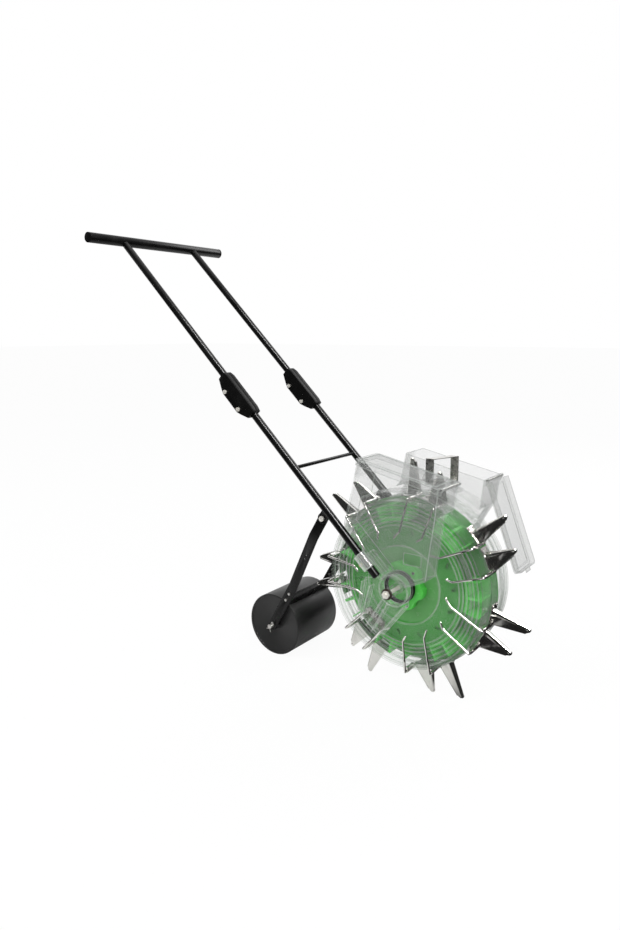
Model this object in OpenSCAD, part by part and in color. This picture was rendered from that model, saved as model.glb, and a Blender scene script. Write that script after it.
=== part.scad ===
// Walk-behind seed planter: a clear drum wheel with beaks, two hoppers, a tube handle and a press roller.
// X points forward, Y to the far side, Z up.
// The origin is on the ground, under the middle of the whole machine.

/* [Wheel] */
// Radius of the drum's side flanges
drum_r = 200; // [180:1:220]
// Distance from the middle plane to each outer face of the drum
drum_half = 73; // [66:1:80]
// Wall of the drum shells
shell_wall = 2.5; // [2:0.1:3.5]
// How far the beak band stands above the flanges
band_rise = 4; // [3:0.5:6]
// How far the middle of each side face is set in
face_step = 5; // [3:0.5:8]
// Width of the raised rim of each side face
rim_w = 31; // [24:1:44]
// Radius of the seed inlet in each side face
inlet_r = 92; // [84:1:98]
// Distance of the green metering discs' edge from the drum's edge
disc_inset = 50; // [44:1:60]
// Distance of the green blocks' outer ends from the drum's edge
block_inset = 12; // [8:1:20]
// Radius of the green hub flanges over their lobes
flange_r = 57; // [54:1:62]
// Outer radius of the hub sleeve
sleeve_r = 12; // [11:0.5:14]

/* [Beaks] */
// Number of beak pairs
pair_count = 7; // [5:1:8]
// How far the seed beaks stand out of the drum
seed_reach = 94; // [84:1:104]
// How far the fertiliser beaks stand out of the drum
fert_reach = 76; // [70:1:79]
// Angle between the two beaks of a pair
pair_angle = 15; // [14:0.5:17]
// Distance of the beaks from the middle plane, towards the near side
beak_off = 18; // [15:1:22]
// Radius of a beak's rounded back at its base
beak_half = 10; // [8:0.5:12]
// Sheet thickness of the beaks and jaws
beak_sheet = 1.6; // [1.2:0.1:2.2]
// Radius of a beak's rounded tip
tip_round = 5; // [4:0.5:6]

/* [Levers] */
// Radius of the lever wire
wire_r = 2.6; // [2:0.1:2.8]
// Height of the lever hinges above the drum's rim
hinge_rise = 9; // [8.5:0.5:12]
// Length of the seed levers' long leg
seed_leg = 81; // [72:1:88]
// Length of the sleeves in which the lever wires turn
lever_sleeve_len = 36; // [18:1:37]
// How far the wire's middle stands off the drum's face
wire_off = 4.2; // [3.8:0.1:5]
// Angle that a tripped jaw opens
jaw_travel = 15; // [8:1:18]

/* [Handle] */
// Slope of the handle above the ground
handle_angle = 43.5; // [40:0.5:48]
// Distance from the wheel axis to the handle bar
handle_len = 1214; // [1100:1:1300]
// Outer radius of the handle tubes
tube_r = 9.5; // [8.5:0.1:10.5]
// Wall of the handle tubes
tube_wall = 1.2; // [1:0.1:2]
// Distance from the middle plane to each tube
tube_off = 131; // [127:1:138]
// Outer radius of the handle bar
bar_r = 14; // [12.5:0.5:16]
// Length of the handle bar between its end caps
bar_len = 488; // [420:1:560]
// Distance from the wheel axis to the lower ends of the tubes
tube_start = 46; // [43:1:50]
// Distance from the wheel axis to the middle of the joiners
joiner_at = 618; // [560:1:660]
// Length of a joiner
joiner_len = 137; // [110:1:150]
// Distance between the screws of a joiner
joiner_pitch = 61; // [50:1:70]
// Distance from the wheel axis to the cross bar
cross_at = 373; // [350:1:400]
// Radius of the cross bar
cross_r = 4.5; // [4:0.5:6]

/* [Axle and brackets] */
// Radius of the wheel axle
axle_r = 5; // [4:0.5:6]
// Running clearance of everything that turns
run_gap = 0.05; // [0.02:0.01:0.09]
// Distance kept between faces that pass each other
face_gap = 0.3; // [0.3:0.1:0.5]
// Outer radius of the bracket's hub cup
cup_r = 38; // [34:1:39]
// Depth of the hub cup
cup_deep = 26; // [20:1:30]
// Distance of the brackets' inner faces from the drum's faces
bracket_gap = 17; // [16:0.5:20]
// Plate thickness of the brackets
bracket_wall = 4; // [3:0.5:5]
// Length of the trip arm from the wheel axis
trip_len = 124; // [112:1:128]
// Angle of the trip arm's middle below the rearward horizontal
trip_angle = 55; // [50:1:60]
// Outer radius of the tube socket
socket_r = 15; // [14:0.5:17]
// Length of the tube socket
socket_len = 40; // [34:1:46]

/* [Hoppers] */
// Length of a hopper's top along its slope
hopper_len = 212; // [196:1:224]
// Slope of the hopper's top towards the front
hopper_tilt = 11.5; // [8:0.5:15]
// Height of the near hopper's front top edge above the drum
hopper_rise = 54; // [50:1:66]
// Distance of the near hopper's front wall ahead of the wheel axis
hopper_front = 118; // [112:1:126]
// How much further forward the far hopper sits
far_lead = 28; // [16:1:34]
// Distance from the middle plane to the hoppers' outer walls
hopper_out = 135; // [128:1:142]
// Distance from the middle plane to the hoppers' inner walls
hopper_in = 40; // [39:1:44]
// Distance of the chutes' inner walls from the drum's faces
chute_gap = 11; // [10:0.5:13]
// Wall thickness of the hoppers
hopper_wall = 2.5; // [2:0.1:3.2]
// Gap between the lever hinges and the hoppers' arch
arch_gap = 13; // [10:1:17]
// Depth of a lid's rim
lid_deep = 12; // [9:1:16]
// Wall of the lids
lid_wall = 2.2; // [1.8:0.1:3]
// Radius of the lids' rear corners
lid_corner = 10; // [7:1:14]
// Radius of the lid hinge pins
pin_r = 2; // [1.5:0.1:2.5]
// Angle that the far lid hangs open
far_lid_open = 238; // [225:1:245]
// Gap between the seed beaks' tips and the strap's top
strap_clear = 5; // [4:1:12]
// Width of the strap
strap_w = 20; // [14:1:24]
// Sheet thickness of the strap
strap_sheet = 1.5; // [1:0.1:2]

/* [Press roller] */
// Radius of the roller
roller_r = 82; // [74:1:86]
// Half length of the roller drum
roller_half = 85; // [75:1:88]
// Wall of the roller drum
roller_wall = 2; // [1.5:0.1:3]
// Distance of the roller axle behind the circle of the seed beaks' tips
roller_gap = 84; // [78:1:98]
// Radius of the roller axle
roller_axle_r = 6; // [5:0.5:7]
// Distance along the tube from the wheel axis to the arm pivot
pivot_at = 234; // [220:1:250]
// Distance of the arm pivot below the tube's middle
pivot_drop = 24; // [23.5:0.5:28]
// Radius of the pivot bolts
pivot_r = 4; // [3:0.5:5]
// Width of the roller arms
arm_w = 26; // [22:1:28]
// Thickness of the roller arms and lugs
arm_t = 4; // [3:0.5:5]
// Distance from the middle plane to the arms beside the roller
arm_off = 92; // [91:0.5:98]
// Length of the scraper blade along the arms
blade_len = 46; // [36:1:56]

/* [Hidden] */
seed_tip_r = drum_r + seed_reach;
fert_tip_r = drum_r + fert_reach;
hinge_r = drum_r + hinge_rise;
step_r = drum_r - rim_w;
metering_r = drum_r - disc_inset;
hopper_top = drum_r + hopper_rise;
arch_r = hinge_r + arch_gap;
strap_top = seed_tip_r + strap_clear;
chute_in = drum_half + chute_gap;
bracket_in = drum_half + bracket_gap;
roller_back = seed_tip_r + roller_gap;

// Stance: the wheel stands on a seed beak behind and a fertiliser beak ahead of its axis.
pair_step = 360 / pair_count;
gap_angle = pair_step - pair_angle;
seed_c = seed_tip_r - tip_round;
fert_c = fert_tip_r - tip_round;
stance = atan((seed_c / fert_c - cos(gap_angle)) / sin(gap_angle));
axle_z = seed_c * cos(stance) + tip_round;
seed_angles = [for (k = [0 : pair_count - 1]) -90 - stance + pair_step * k];
fert_angles = [for (a = seed_angles) a - pair_angle];
front_reach = max([for (a = seed_angles) seed_c * cos(a)]) + tip_round;
rear_reach = handle_len * cos(handle_angle) + bar_r;
axle_x = (rear_reach - front_reach) / 2;

band_r = drum_r + band_rise;
face_half = drum_half - face_step;
band_near = beak_off + beak_half + 5;
port_half = beak_half - 3;
port_len = 22;
wire_y = drum_half + wire_off;
seed_hinge_turn = -5.5;
fert_hinge_turn = -8.5;
knuckle_r = wire_r + 1.5;
lever_sleeve_r = wire_r + 1.6;
spring_turns = 4;

// Rear edge of the beaks, and the line along which beak and jaw meet
beak_back = 17;
beak_end_drop = 8.5;
jaw_gap = 0.4;
flange_sheet = 1.6;
flange_half = 26;
flange_w = beak_half + 5;

hub_half = bracket_in - 2;
cap_len = 5;
nut_len = 6;
nut_r = 9.2;
washer_len = 5;
washer_r = 13;
boss_out = tube_off + 8;
boss_r = 12;
ring_in = 33;

// Hopper outline, in the side view, from the wheel axis
tilt_run = hopper_len * cos(hopper_tilt);
tilt_rise = hopper_len * sin(hopper_tilt);
edge_off = socket_r + 3;

pivot_x = axle_x - pivot_at * cos(handle_angle) - pivot_drop * sin(handle_angle);
pivot_z = axle_z + pivot_at * sin(handle_angle) - pivot_drop * cos(handle_angle);
roller_x = axle_x - roller_back;
roller_z = roller_r;
arm_dx = pivot_x - roller_x;
arm_dz = pivot_z - roller_z;
arm_len = norm([arm_dx, arm_dz]);
arm_lean = atan(arm_dx / arm_dz);
arm_top_y = tube_off - arm_t / 2 - face_gap - arm_t;

black = [0.05, 0.05, 0.055];
clear = [0.86, 0.89, 0.88, 0.4];
green = [0.16, 0.62, 0.2, 0.8];
steel = [0.78, 0.77, 0.74];

// Helpers

// Flat shape drawn in X and Z, made solid from y0 to y1
module along_y(y0, y1) translate([0, y1, 0]) rotate([90, 0, 0]) linear_extrude(y1 - y0) children();

// The same, between two distances from the middle plane, at side s (-1 near, 1 far)
module slab(s, a, b) along_y(min(s * a, s * b), max(s * a, s * b)) children();

// Round rod along Y
module rod(r, y0, y1) translate([0, y1, 0]) rotate([90, 0, 0]) cylinder(r = r, h = y1 - y0, $fn = 48);

// Round rod at side s between two distances from the middle plane
module side_rod(s, r, a, b) rod(r, min(s * a, s * b), max(s * a, s * b));

module at_axle() translate([axle_x, 0, axle_z]) children();

// Frame of a handle tube: Z runs up the tube from the wheel axis, X points up and forward
module on_tube(s) at_axle() translate([0, s * tube_off, 0]) rotate([0, handle_angle - 90, 0]) children();

// Frame of a beak: X runs out along its radius, Z towards its trailing side
module at_beak(angle) at_axle() rotate([0, -angle, 0]) children();

// Body of revolution about the wheel axis, with its height measured towards the near side
module turned() at_axle() rotate([90, 0, 0]) rotate_extrude($fn = 160) children();

// Frame of a roller arm: Z runs up from the roller axle to the pivot, X points forward
module on_arm() translate([roller_x, 0, roller_z]) rotate([0, arm_lean, 0]) children();

// Straight wire between two points of a side view, at distance y
module wire(y, p, q, r = wire_r) {
    run = norm(q - p);
    lean = atan2(q[0] - p[0], q[1] - p[1]);
    translate([p[0], y, p[1]]) rotate([0, lean, 0]) cylinder(r = r, h = run, $fn = 20);
}

// Corner where the edges beside point i, moved in by w, meet
function unit(v) = v / norm(v);
function inward(p, q) = [-(q - p)[1], (q - p)[0]] / norm(q - p);
function corner(p, q, r, w) =
    let (a = inward(p, q), b = inward(q, r), k = a + b)
    q + w * k * 2 / (k * k);
function inset(pts, w) = [
    for (i = [0 : len(pts) - 1])
    corner(pts[(i + len(pts) - 1) % len(pts)], pts[i], pts[(i + 1) % len(pts)], w)];

function polar(r, a) = [r * cos(a), r * sin(a)];

// Handle

module tube_between(s, a, b) on_tube(s) translate([0, 0, a]) difference() {
    cylinder(r = tube_r, h = b - a, $fn = 48);
    translate([0, 0, -1]) cylinder(r = tube_r - tube_wall, h = b - a + 2, $fn = 48);
}

module at_bar() at_axle() translate([-handle_len * cos(handle_angle), 0, handle_len * sin(handle_angle)])
    children();

module handle_bar() color(black) at_bar() difference() {
    rod(bar_r, -bar_len / 2, bar_len / 2);
    rod(bar_r - tube_wall, -bar_len / 2 - 1, bar_len / 2 + 1);
}

module bar_end_caps() color(black) at_bar() for (s = [-1, 1]) {
    side_rod(s, bar_r, bar_len / 2, bar_len / 2 + cap_len);
    side_rod(s, bar_r - tube_wall, bar_len / 2 - 12, bar_len / 2);
}

module upper_tube(s) color(black) difference() {
    tube_between(s, joiner_at, handle_len);
    at_bar() rod(bar_r, -bar_len / 2, bar_len / 2);
}

module near_upper_tube() upper_tube(-1);
module far_upper_tube() upper_tube(1);

// A lower tube and the lug welded under it for the roller arm
module lower_tube(s) color(black) {
    difference() {
        union() {
            on_tube(s) translate([0, 0, tube_start])
                cylinder(r = tube_r, h = joiner_at - tube_start, $fn = 48);
            on_tube(s) slab(1, -arm_t / 2, arm_t / 2) {
                translate([-pivot_drop, pivot_at]) circle(r = arm_w / 2, $fn = 48);
                translate([-pivot_drop, pivot_at - arm_w / 2]) square([pivot_drop, arm_w]);
            }
        }
        on_tube(s) translate([0, 0, tube_start - 1])
            cylinder(r = tube_r - tube_wall, h = joiner_at - tube_start + 2, $fn = 48);
        on_tube(s) translate([-pivot_drop, 0, pivot_at]) rod(pivot_r + run_gap, -arm_t, arm_t);
        on_tube(s) translate([0, 0, foot_at]) side_rod(s, foot_screw_r + run_gap, -tube_r - 1, 0);
    }
}

module near_lower_tube() lower_tube(-1);
module far_lower_tube() lower_tube(1);

joiner_low = 29;
joiner_high = 15;
joiner_half_t = 14;
joiner_drop = 20;

// One half of a joiner: its outline in the side view, with the tube's bed and the screw holes
module joiner_half(s, inner) on_tube(s) difference() {
    slab(inner ? -s : s, 0, joiner_half_t) {
        end = joiner_len / 2;
        mid = joiner_pitch / 2 + 8;
        translate([0, joiner_at]) polygon([
            [joiner_high, -end + 14], [joiner_high, end - 14], [tube_r + 2, end], [-tube_r - 2, end],
            [-joiner_low + 6, mid + 8], [-joiner_low, mid - 6],
            [-joiner_low, 6 - mid], [-joiner_low + 6, -mid - 8],
            [-tube_r - 2, -end], [tube_r + 2, -end]]);
    }
    translate([0, 0, joiner_at - joiner_len / 2 - 1])
        cylinder(r = tube_r + run_gap, h = joiner_len + 2, $fn = 48);
    for (k = [-1, 1]) translate([-joiner_drop, 0, joiner_at + k * joiner_pitch / 2])
        rod(3, -joiner_half_t - 1, joiner_half_t + 1);
}

module joiner_outer_halves() color(black) for (s = [-1, 1]) joiner_half(s, false);
module joiner_inner_halves() color(black) for (s = [-1, 1]) joiner_half(s, true);

module joiner_screws() color(steel) for (s = [-1, 1], k = [-1, 1])
    on_tube(s) translate([-joiner_drop, 0, joiner_at + k * joiner_pitch / 2]) {
        rod(3 - run_gap, -joiner_half_t, joiner_half_t);
        side_rod(s, 5.5, joiner_half_t, joiner_half_t + 3.5);
        side_rod(-s, 5, joiner_half_t, joiner_half_t + 4);
    }

module cross_bar() color(black) difference() {
    at_axle() translate([-cross_at * cos(handle_angle), 0, cross_at * sin(handle_angle)])
        rod(cross_r, -tube_off, tube_off);
    for (s = [-1, 1]) on_tube(s) translate([0, 0, cross_at - 40]) cylinder(r = tube_r, h = 80, $fn = 48);
}

// Axle and brackets

axle_end = boss_out + washer_len + nut_len + 3;

module wheel_axle() color(steel) at_axle() rod(axle_r, -axle_end, axle_end);

module axle_nuts() color(steel) at_axle() for (s = [-1, 1]) difference() {
    slab(s, boss_out + washer_len, boss_out + washer_len + nut_len) circle(r = nut_r, $fn = 6);
    side_rod(s, axle_r, boss_out, axle_end + 1);
}

module rubber_washers() color([0.12, 0.06, 0.04]) at_axle() for (s = [-1, 1]) difference() {
    side_rod(s, washer_r, boss_out, boss_out + washer_len);
    side_rod(s, axle_r, boss_out - 1, boss_out + washer_len + 1);
}

socket_at = tube_start + 24;
rib_t = 3;
rib_rise = 1.5;
web_low = 4 - socket_r;
web_high = socket_r - 4;
trip_rib_deep = 24;
trip_cam = 5;

// Ribs of the trip arm, each from its root to its end
trip_mid = trip_angle - 180;
trip_ribs = [
    [polar(84, 177), polar(trip_len, trip_mid - 17)], [polar(64, -177), polar(trip_len, trip_mid - 9)],
    [polar(cup_r - 1.5, -138), polar(trip_len, trip_mid)],
    [polar(cup_r - 1.5, -114), polar(trip_len, trip_mid + 8)],
    [polar(cup_r + 6, -55), polar(trip_len, trip_mid + 17)]];

module bar_between(p, q, w) polygon([
    p + inward(p, q) * w / 2, p - inward(p, q) * w / 2, q - inward(p, q) * w / 2, q + inward(p, q) * w / 2]);

// Clear side bracket before its bores: hub cup, web and ribbed socket for the tube, and the ribbed trip arm
module bracket_body(s) {
    at_axle() side_rod(s, cup_r, bracket_in, bracket_in + cup_deep);
    on_tube(s) {
        translate([0, 0, socket_at]) cylinder(r = socket_r, h = socket_len, $fn = 48);
        for (k = [0 : 8]) rotate(s * (18 + 18 * k)) translate([0, -rib_t / 2, socket_at + 1])
            cube([socket_r + rib_rise, rib_t, socket_len - 2]);
    }
    at_axle() rotate([0, handle_angle - 90, 0]) {
        slab(s, bracket_in + 0.5, bracket_in + bracket_wall + 0.5)
            translate([web_low, cup_r - 2]) square([web_high - web_low, socket_at + socket_len - cup_r - 4]);
        slab(s, bracket_in + 1.5, tube_off - 5)
            translate([-rib_t, cup_r - 1.5]) square([2 * rib_t, socket_at + socket_len - cup_r - 4]);
    }
    at_axle() {
        slab(s, bracket_in + 1, bracket_in + bracket_wall + 1) difference() {
            polygon(trip_edge);
            circle(r = cup_r - 1.5, $fn = 48);
        }
        for (r = trip_ribs)
            slab(s, bracket_in + 2, bracket_in + trip_rib_deep) bar_between(r[0], r[1], rib_t);
    }
}

// Edge of the trip arm's plate
trip_edge = [
    polar(88, 175), polar(trip_len + 5, trip_mid - 19), polar(trip_len + 9, trip_mid),
    polar(trip_len + 5, trip_mid + 19), polar(cup_r + 10, -52), polar(cup_r - 10, 0), polar(cup_r - 10, 110)];

module bracket(s) color(clear) difference() {
    union() {
        difference() {
            bracket_body(s);
            at_axle() side_rod(s, cup_r - 3, bracket_in + bracket_wall, bracket_in + cup_deep + 20);
        }
        at_axle() side_rod(s, boss_r, bracket_in + 1, boss_out);
    }
    at_axle() side_rod(s, axle_r + run_gap, bracket_in - 1, boss_out + 1);
    on_tube(s) translate([0, 0, tube_start]) cylinder(r = tube_r + run_gap, h = socket_len + 40, $fn = 48);
    on_tube(s) translate([2 - tube_r, 0, socket_at + socket_len / 2])
        rotate([0, -90, 0]) cylinder(r = 2.5, h = 12, $fn = 24);
}

trip_spring_r = 5;
trip_spring_wire = 0.8;
trip_spring_turns = 5;

// Steel cam under each trip arm's end, with the springs that press it
module trip_cams() color(steel) for (s = [-1, 1]) at_axle() {
    slab(s, bracket_in - trip_cam, bracket_in + 1) polygon([
        polar(trip_len - 24, trip_mid - 15), polar(trip_len - 6, trip_mid - 16),
        polar(trip_len - 6, trip_mid + 16), polar(trip_len - 24, trip_mid + 15)]);
    for (k = [-6.5, 3.5, 13.5]) rotate([0, -trip_mid - k, 0])
        translate([trip_len - 24, s * (bracket_in + bracket_wall + 1 + trip_spring_r + trip_spring_wire), 0])
            rotate([0, 90, 0]) coil(trip_spring_r, trip_spring_wire, 4, trip_spring_turns);
}

// Wire wound in curls about Z
module coil(r, wire_half, pitch, turns) polyhedron(
    points = [for (i = [0 : turns * 8], k = [0 : 5]) curl(r, wire_half, pitch, i, k)],
    faces = concat(
        [[for (k = [0 : 5]) k]],
        [for (i = [0 : turns * 8 - 1], k = [0 : 5])
            [6 * i + k, 6 * i + 6 + k, 6 * i + 6 + (k + 1) % 6, 6 * i + (k + 1) % 6]],
        [[for (k = [5 : -1 : 0]) 6 * turns * 8 + k]]));

function curl(r, wire_half, pitch, i, k) =
    let (turn = 45 * i, side = 60 * k, out = r + wire_half * cos(side))
    [out * cos(turn), -out * sin(turn), pitch * i / 8 + wire_half * sin(side)];

module near_bracket() bracket(-1);
module far_bracket() bracket(1);

// Black rings that seal the brackets against the turning flanges
module hub_rings() color(black) at_axle() for (s = [-1, 1]) difference() {
    side_rod(s, cup_r, hub_face + face_gap, bracket_in);
    side_rod(s, ring_in, hub_face, bracket_in + 1);
}

module socket_screws() color([0.7, 0.6, 0.35]) for (s = [-1, 1])
    on_tube(s) translate([-tube_r - run_gap, 0, socket_at + socket_len / 2]) rotate([0, -90, 0]) {
        cylinder(r = 2.5 - run_gap, h = socket_r - tube_r + 2, $fn = 24);
        translate([0, 0, socket_r - tube_r + 1.5]) cylinder(r = 4.5, h = 2.5, $fn = 24);
    }

// Hoppers

function top_front(lead) = [hopper_front + lead, hopper_top - lead * tan(hopper_tilt)];
function top_back(lead) = top_front(lead) + [-tilt_run, tilt_rise];
function beside_tube(along) = [
    -along * cos(handle_angle) + edge_off * sin(handle_angle),
    along * sin(handle_angle) + edge_off * cos(handle_angle)];

// Outline of a hopper in the side view: box on top, chute down to the hub cup
function outline(lead) = [
    top_front(lead), top_back(lead), [top_back(lead)[0] - 12, 225], beside_tube(186), beside_tube(50),
    [-18, 36], [42, 22], [92, 46], [101, 118], [hopper_front - 7 + lead, 186]];

// Hollow form of a hopper with its arch over the wheel, widened by w at both sides
module hopper_form(s, lead, pts, y_out, y_chute, y_in, arch) at_axle() {
    slab(s, y_chute, y_out) polygon(pts);
    difference() {
        slab(s, y_in, y_chute) polygon(pts);
        side_rod(s, arch, y_in - 1, y_chute);
    }
}

module hopper(s, lead) color(clear) {
    pts = outline(lead);
    inner = inset(pts, hopper_wall);
    lift = unit(top_back(lead) - top_front(lead));
    up = [-lift[1], lift[0]] * -20;
    open_pts = concat([inner[0], inner[0] + up, inner[1] + up], [for (i = [1 : len(inner) - 1]) inner[i]]);
    difference() {
        hopper_form(s, lead, pts, hopper_out, chute_in, hopper_in, arch_r);
        corner_bars(s, lead, 0);
        difference() {
            hopper_form(s, lead, open_pts, hopper_out - hopper_wall, chute_in + hopper_wall,
                hopper_in + hopper_wall, arch_r + hopper_wall);
            at_axle() side_rod(s, cup_r + hopper_wall, chute_in - 1, hopper_out + 1);
            corner_bars(s, lead, hopper_wall);
        }
        at_axle() side_rod(s, cup_r, chute_in - 1, hopper_out + 1);
        at_axle() slab(s, chute_in - 1, chute_in + hopper_wall + 1)
            translate([10, 58]) square([44, 26]);
    }
    hinge_ears(s, lead);
    strap_boss(s, lead);
    tube_foot(s);
}

lid_play = 0.5;

// Bars that round the rear corners of a hopper, moved in by w
module corner_bars(s, lead, w) {
    r = lid_corner - lid_wall - lid_play - w;
    in = 0.96 * r;
    on_top(lead) translate([0, 0, -82]) linear_extrude(87) for (y = [hopper_in + w, hopper_out - w]) {
        mid = y < hopper_mid ? y + in : y - in;
        away = y < hopper_mid ? -1 : 1;
        difference() {
            translate([-hopper_len + w - 5, min(s * mid, s * (mid + away * (in + 5)))]) square(in + 5);
            translate([-hopper_len + w + in, s * mid]) circle(r = r, $fn = 48);
        }
    }
}

foot_at = 150;
foot_len = 22;
foot_in = tube_r + 3;
foot_screw_r = 2.5;

// Foot that sits on the inner side of the tube and takes a screw
module tube_foot(s) difference() {
    on_tube(s) slab(s, -foot_in, -2)
        translate([-4, foot_at - foot_len / 2]) square([edge_off + 4.5, foot_len]);
    on_tube(s) cylinder(r = tube_r, h = 300, $fn = 48);
    on_tube(s) translate([0, 0, foot_at]) side_rod(s, foot_screw_r + run_gap, -20, 0);
}

// Frame of a hopper's top: X runs down its slope from the front edge, Z stands off it
module on_top(lead) at_axle() translate([top_front(lead)[0], 0, top_front(lead)[1]])
    rotate([0, hopper_tilt, 0]) children();

hinge_fwd = pin_r + 3;
hinge_up = 0.5;
ear_t = 5;
knuckle_out = pin_r + 2;
hopper_mid = (hopper_out + hopper_in) / 2;
hopper_half_w = (hopper_out - hopper_in) / 2;

module hinge_ears(s, lead) difference() {
    on_top(lead) for (y = [-1, 1]) translate([0, s * hopper_mid + y * (hopper_half_w - ear_t), 0])
        slab(1, -ear_t / 2, ear_t / 2) {
            translate([hinge_fwd, hinge_up]) circle(r = knuckle_out, $fn = 32);
            translate([0, hinge_up - 14]) square([hinge_fwd, 14]);
            translate([hinge_fwd - 0.01, hinge_up - knuckle_out]) square([knuckle_out * 0.7, knuckle_out]);
        }
    on_top(lead) translate([hinge_fwd, 0, hinge_up]) side_rod(s, pin_r, hopper_in - 5, hopper_out + 5);
}

module near_hopper() hopper(-1, 0);
module far_hopper() hopper(1, far_lead);

module lid_pins() color(steel) for (s = [-1, 1])
    on_top(s > 0 ? far_lead : 0) translate([hinge_fwd, 0, hinge_up])
        side_rod(s, pin_r, hopper_in + 1.5, hopper_out - 1.5);

// Plan of a lid: straight at its hinge end, with round corners at the back
module lid_plan(s, front, back, in, out, r) {
    low = min(s * in, s * out);
    wide = abs(out - in);
    translate([-back + r, low]) square([back - r - front, wide]);
    translate([-back, low + r]) square([r + 0.01, wide - 2 * r]);
    for (y = [low + r, low + wide - r]) translate([-back + r, y]) circle(r = r, $fn = 48);
}

lid_ridge = 3;

// Lid, drawn closed: plate with a rim outside the hopper's walls, a ridge and a knuckle between the ears
module lid(s, lead, turn) color(clear) on_top(lead)
    translate([hinge_fwd, 0, hinge_up]) rotate([0, turn, 0]) translate([-hinge_fwd, 0, -hinge_up]) {
        rim = lid_wall + lid_play;
        back = hopper_len + rim;
        difference() {
            translate([0, 0, face_gap - lid_deep]) linear_extrude(lid_deep + lid_wall)
                lid_plan(s, 1, back, hopper_in - rim, hopper_out + rim, lid_corner);
            translate([0, 0, face_gap - lid_deep - 1]) linear_extrude(lid_deep + 1)
                lid_plan(s, -5, back - lid_wall, hopper_in - lid_play, hopper_out + lid_play,
                    lid_corner - lid_wall);
        }
        translate([0, 0, face_gap + lid_wall - 0.5]) linear_extrude(1.3) difference() {
            lid_plan(s, 10, back - 7, hopper_in + 5, hopper_out - 5, lid_corner - 4);
            lid_plan(s, 10 + lid_ridge, back - 7 - lid_ridge,
                hopper_in + 5 + lid_ridge, hopper_out - 5 - lid_ridge, lid_corner - 6);
        }
        slab(s, hopper_mid - 12, hopper_mid + 12)
            translate([-back - 7, face_gap - lid_deep]) square([8, 3]);
        lid_knuckle(s);
    }

knuckle_in = hopper_in + ear_t * 1.5 + face_gap;
knuckle_end = hopper_out - ear_t * 1.5 - face_gap;

module lid_knuckle(s) difference() {
    slab(s, knuckle_in, knuckle_end) {
        translate([hinge_fwd, hinge_up]) circle(r = knuckle_out, $fn = 32);
        translate([-1.01, face_gap]) square([hinge_fwd + 1, lid_wall]);
    }
    translate([hinge_fwd, 0, hinge_up]) side_rod(s, pin_r + run_gap, knuckle_in - 1, knuckle_end + 1);
}

module near_lid() lid(-1, 0, 0);
module far_lid() lid(1, far_lead, far_lid_open);

strap_stand = 4.2;
strap_back = 63;
strap_foot = 46;
strap_leg = hopper_in - strap_stand;

function strap_x(lead) = hopper_front - strap_back + lead - 10;
function strap_foot_z(lead) = top_front(lead)[1] + (strap_back + 10) * tan(hopper_tilt) - strap_foot / 2;

// Boss on a hopper's inner wall that carries a leg of the strap
module strap_boss(s, lead) at_axle() translate([strap_x(lead), 0, strap_foot_z(lead)])
    side_rod(s, 6, strap_leg, hopper_in + 0.01);

// Steel strap: two legs on the hoppers' inner walls and a top that runs across at a slant
module hopper_strap() color(steel) at_axle() difference() {
    union() {
        for (s = [-1, 1]) slab(s, strap_leg - strap_sheet, strap_leg)
            translate([strap_x(s > 0 ? far_lead : 0) - strap_w / 2, strap_foot_z(s > 0 ? far_lead : 0) - 8])
                square([strap_w, strap_top - strap_foot_z(s > 0 ? far_lead : 0) + 8]);
        translate([0, 0, strap_top - strap_sheet]) linear_extrude(strap_sheet) polygon([
            [strap_x(0) - strap_w / 2, -strap_leg], [strap_x(0) + strap_w / 2, -strap_leg],
            [strap_x(far_lead) + strap_w / 2, strap_leg], [strap_x(far_lead) - strap_w / 2, strap_leg]]);
    }
    for (s = [-1, 1]) translate([strap_x(s > 0 ? far_lead : 0), 0, strap_foot_z(s > 0 ? far_lead : 0)])
        side_rod(s, 2.2, strap_leg - 5, strap_leg + 1);
}

// Screws of the strap and of the hoppers' feet
module hopper_screws() color(steel) for (s = [-1, 1]) {
    at_axle() translate([strap_x(s > 0 ? far_lead : 0), 0, strap_foot_z(s > 0 ? far_lead : 0)]) {
        side_rod(s, 2.2 - run_gap, strap_leg - strap_sheet, strap_leg);
        side_rod(s, 4, strap_leg - strap_sheet - 2, strap_leg - strap_sheet);
    }
    on_tube(s) translate([0, 0, foot_at]) {
        side_rod(s, foot_screw_r, -foot_in, 1.5 + tube_wall - tube_r);
        side_rod(s, 4.5, -foot_in - 3, -foot_in);
    }
}

// Wheel

// Wall of a drum shell from the inlet over the stepped face and the rim to the middle plane
module shell_profile(band) {
    polygon([
        [inlet_r, face_half - shell_wall], [step_r + shell_wall, face_half - shell_wall],
        [step_r + shell_wall, drum_half - shell_wall], [drum_r - shell_wall, drum_half - shell_wall],
        [drum_r - shell_wall, band - shell_wall], [band_r - shell_wall, band - shell_wall],
        [band_r - shell_wall, partition_t / 2], [band_r, partition_t / 2], [band_r, band], [drum_r, band],
        [drum_r, drum_half], [step_r, drum_half], [step_r, face_half],
        [inlet_r + 3, face_half], [inlet_r + 3, face_half + 2], [inlet_r, face_half + 2]]);
    for (k = [1, 2]) translate([step_r + rim_w * k / 3 - 1, drum_half - 1]) square([2, 1.8]);
    for (k = [1 : 3]) translate([step_r - 9 * k - 1, face_half - 1]) square([2, 2]);
}

partition_t = 3;

module near_drum_shell() color(clear) difference() {
    turned() shell_profile(band_near);
    for (a = concat(seed_angles, fert_angles)) at_beak(a)
        translate([drum_r - 10, -beak_off - port_half, -port_len / 2]) cube([20, 2 * port_half, port_len]);
}

module far_drum_shell() color(clear) at_axle() rotate([-90, 0, 0])
    rotate_extrude($fn = 160) shell_profile(band_near);

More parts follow.
